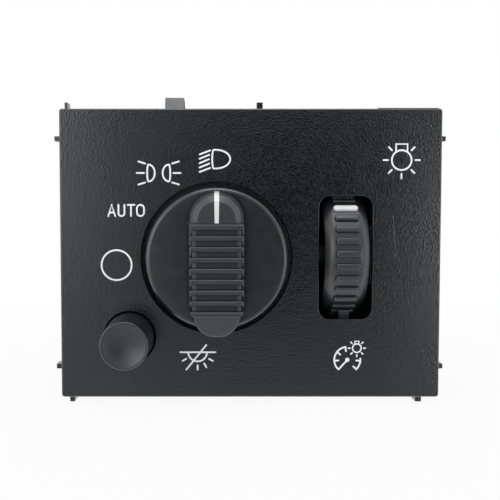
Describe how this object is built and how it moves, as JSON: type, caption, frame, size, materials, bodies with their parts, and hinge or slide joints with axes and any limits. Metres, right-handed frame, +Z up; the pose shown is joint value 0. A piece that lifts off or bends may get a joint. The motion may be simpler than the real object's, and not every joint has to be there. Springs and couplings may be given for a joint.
{
  "type": "headlight switch",
  "caption": "Flat dashboard switch module with a ribbed rotary knob, a push button and an edge-on thumbwheel in a textured front plate, on a closed rear case with a connector socket.",
  "frame": {"origin": "centre of the front plate's rear rim, the face that meets the dashboard", "axes": "+X to the driver's right, +Y into the dashboard, +Z up; the controls face -Y"},
  "size_m": [0.1062, 0.0704, 0.084],
  "materials": {
    "plate_plastic": "fine spark-eroded texture, satin",
    "knob_plastic": "fine texture, satin",
    "button_plastic": "satin",
    "wheel_plastic": "satin",
    "white_insert": "semi-gloss",
    "case_plastic": "moulded, semi-matt",
    "clear_acrylic": "clear, polished",
    "board_laminate": "solder resist",
    "natural_nylon": "moulded",
    "header_plastic": "moulded",
    "switch_plastic": "moulded",
    "spring_steel": "zinc plated, dull",
    "spring_wire": "drawn wire",
    "ball_steel": "polished",
    "contact_bronze": "bright",
    "tinned_copper": "tin plated",
    "resistor_ceramic": "fired",
    "lamp_glass": "clear",
    "screw_steel": "zinc plated"
  },
  "bodies": {
    "case": {"faceplate": "plate_plastic", "rear_housing": "case_plastic", "light_guide": "clear_acrylic", "circuit_board": "board_laminate", "connector_header": "header_plastic", "push_switch_body": "switch_plastic", "button_spring": "spring_wire", "detent_ball": "ball_steel", "detent_spring": "spring_wire", "dimmer_resistor_card": "resistor_ceramic", "dimmer_detent_spring": "header_plastic", "left_lamp_socket": "switch_plastic", "right_lamp_socket": "switch_plastic", "left_lamp_bulb": "lamp_glass", "right_lamp_bulb": "lamp_glass", "retaining_clip": "spring_steel", "board_screw_1": "screw_steel", "board_screw_2": "screw_steel", "board_screw_3": "screw_steel", "board_screw_4": "screw_steel", "terminal_01": "tinned_copper", "terminal_02": "tinned_copper", "terminal_03": "tinned_copper", "terminal_04": "tinned_copper", "terminal_05": "tinned_copper", "terminal_06": "tinned_copper", "terminal_07": "tinned_copper", "terminal_08": "tinned_copper", "terminal_09": "tinned_copper", "terminal_10": "tinned_copper", "terminal_11": "tinned_copper", "terminal_12": "tinned_copper"},
    "knob": {"knob": "knob_plastic", "knob_pointer": "white_insert", "rotor": "natural_nylon", "rotor_wiper": "contact_bronze", "rotor_retaining_ring": "spring_steel"},
    "button": {"button_cap": "button_plastic", "switch_plunger": "natural_nylon"},
    "thumbwheel": {"dimmer_wheel": "wheel_plastic", "dimmer_marker": "white_insert", "dimmer_axle": "screw_steel", "dimmer_wiper": "contact_bronze"}
  },
  "joints": [
    {"name": "knob_turn", "type": "hinge", "parent": "case", "child": "knob", "pos_m": [-0.00905, -0.0185, -0.001], "axis": [0, -1, 0], "range_deg": [0, 90]},
    {"name": "dome_button_press", "type": "slide", "parent": "case", "child": "button", "axis": [0, 1, 0], "range_m": [0, 0.003], "stiffness_N_per_m": 900, "springref_m": -0.0015, "deforming": ["button_spring"]},
    {"name": "dimmer_turn", "type": "hinge", "parent": "case", "child": "thumbwheel", "pos_m": [0.0255, -0.00175, -0.00028], "axis": [1, 0, 0], "range_deg": [0, 105]}
  ]
}
